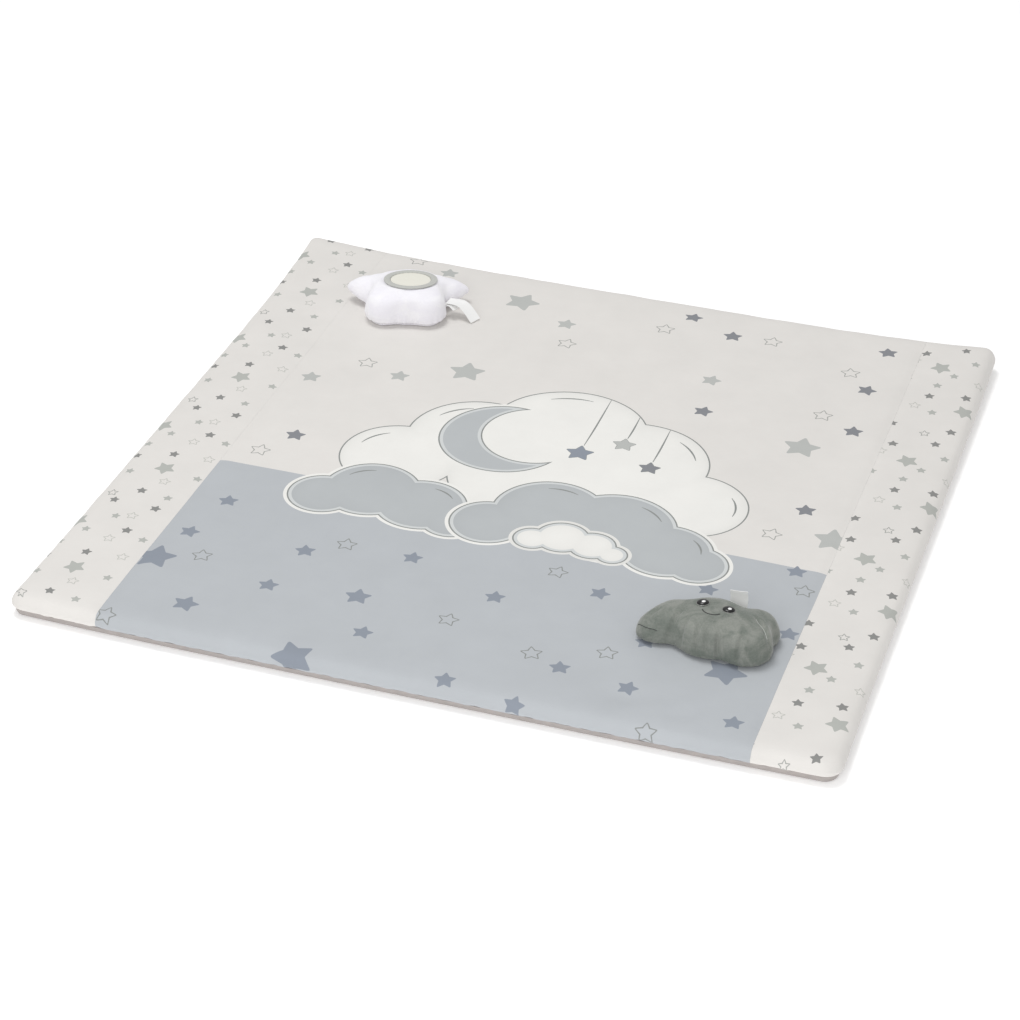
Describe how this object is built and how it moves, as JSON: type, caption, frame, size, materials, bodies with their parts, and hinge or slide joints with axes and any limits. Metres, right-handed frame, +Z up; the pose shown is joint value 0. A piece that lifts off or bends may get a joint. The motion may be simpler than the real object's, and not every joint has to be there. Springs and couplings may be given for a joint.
{
  "type": "baby play gym",
  "caption": "Padded square play mat with printed stars and border strips, with a star soft toy with a round mirror and a cloud soft toy lying on it.",
  "frame": {"origin": "on the floor under the middle of the mat", "axes": "+Z up, +X to the right border, +Y to the far edge"},
  "size_m": [1.0005, 1, 0.0827],
  "materials": {
    "printed_centre_cloth": "matte printed microfibre",
    "printed_border_cloth": "matte printed microfibre",
    "taupe_back_cloth": "matte woven cloth",
    "lilac_white_plush": "short-pile plush",
    "grey_ring_cloth": "smooth woven trim",
    "mirror_foil": "soft mirror foil",
    "label_satin": "blank satin ribbon",
    "grey_green_plush": "short-pile plush",
    "black_eye": "gloss"
  },
  "bodies": {
    "root": {"centre_panel": "printed_centre_cloth", "left_border": "printed_border_cloth", "right_border": "printed_border_cloth", "back_cloth": "taupe_back_cloth", "star_toy_body": "lilac_white_plush", "star_toy_ring": "grey_ring_cloth", "star_toy_mirror": "mirror_foil", "star_toy_label": "label_satin", "cloud_toy_body": "grey_green_plush", "cloud_toy_eye_left": "black_eye", "cloud_toy_eye_right": "black_eye", "cloud_toy_label": "label_satin"}
  },
  "joints": []
}
